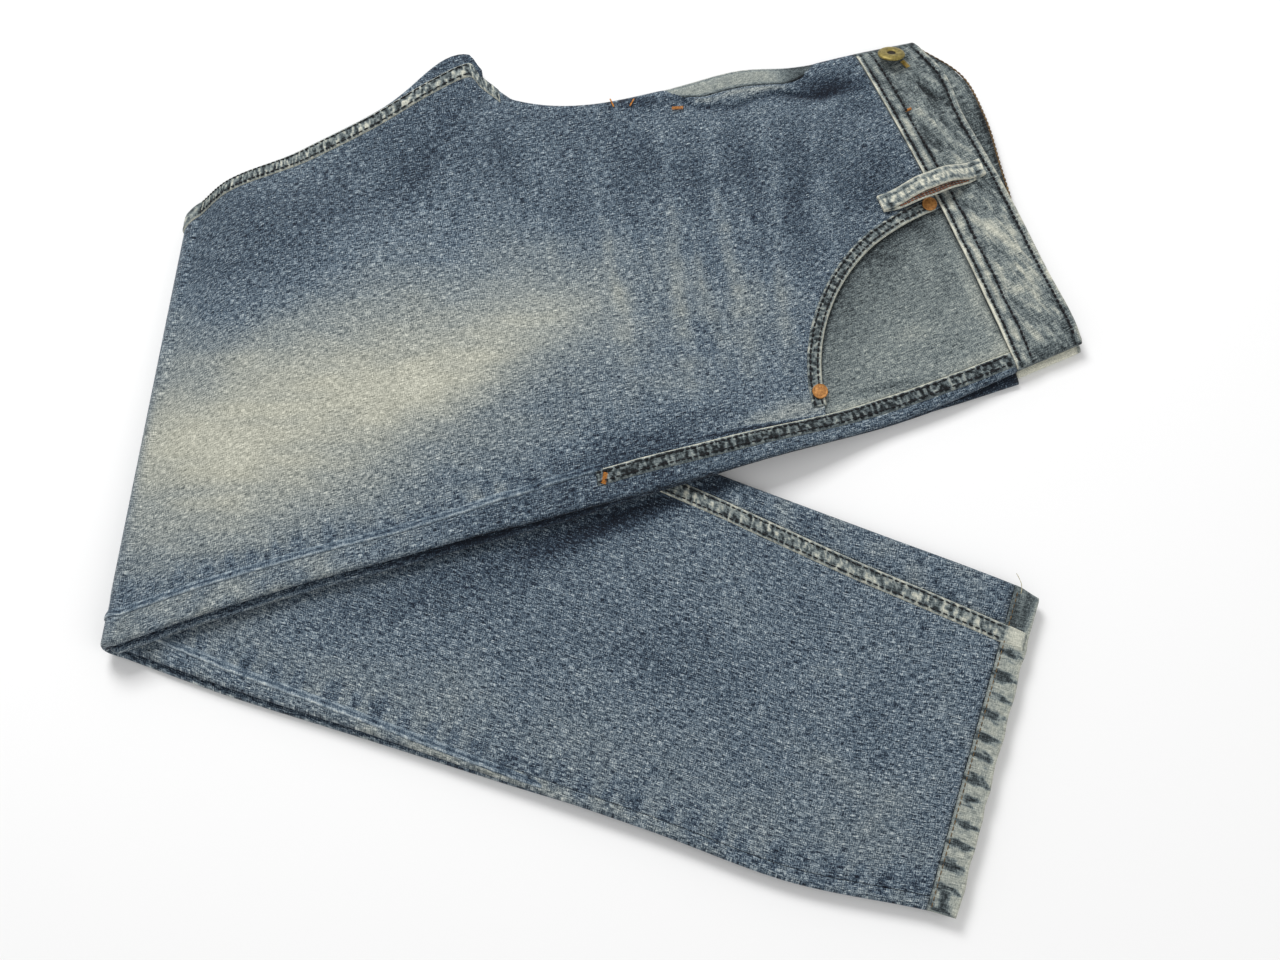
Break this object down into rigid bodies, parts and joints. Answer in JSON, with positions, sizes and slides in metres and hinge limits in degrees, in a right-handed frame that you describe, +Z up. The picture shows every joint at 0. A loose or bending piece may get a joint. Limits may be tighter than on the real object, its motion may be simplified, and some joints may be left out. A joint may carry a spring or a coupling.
{
  "type": "folded jeans",
  "caption": "Tapered denim jeans folded in half and once more at the knees, lying flat, with a buttoned waistband, front pocket and belt loop.",
  "frame": {"origin": "centre of the bounding box at the height of the table it lies on", "axes": "+X towards the waistband end, from the knee fold; +Y from the side seams towards the centre front; +Z up"},
  "size_m": [0.5588, 0.5322, 0.0234],
  "materials": {
    "denim": "washed indigo twill with faded and bleached bands",
    "waistband_denim": "washed indigo twill, faded grey-green on its ridges",
    "faded_denim": "denim faded to cream on its ridges",
    "pocket_facing": "grey-green faded denim",
    "copper": "matt copper-coloured metal",
    "brass": "satin yellow brass"
  },
  "bodies": {
    "root": {"left_front": "denim", "left_back": "denim", "left_yoke": "denim", "right_front": "denim", "right_back": "denim", "right_yoke": "denim", "hidden_layers": "denim", "waistband": "waistband_denim", "left_hem": "faded_denim", "right_hem": "faded_denim", "left_outseam": "faded_denim", "left_inseam": "faded_denim", "right_inseam": "faded_denim", "left_pocket_facing": "pocket_facing", "left_pocket_edge": "faded_denim", "fly_placket": "faded_denim", "belt_loop": "faded_denim", "belt_loop_under": "faded_denim", "rivet_upper": "copper", "rivet_lower": "copper", "button": "brass"}
  },
  "joints": []
}
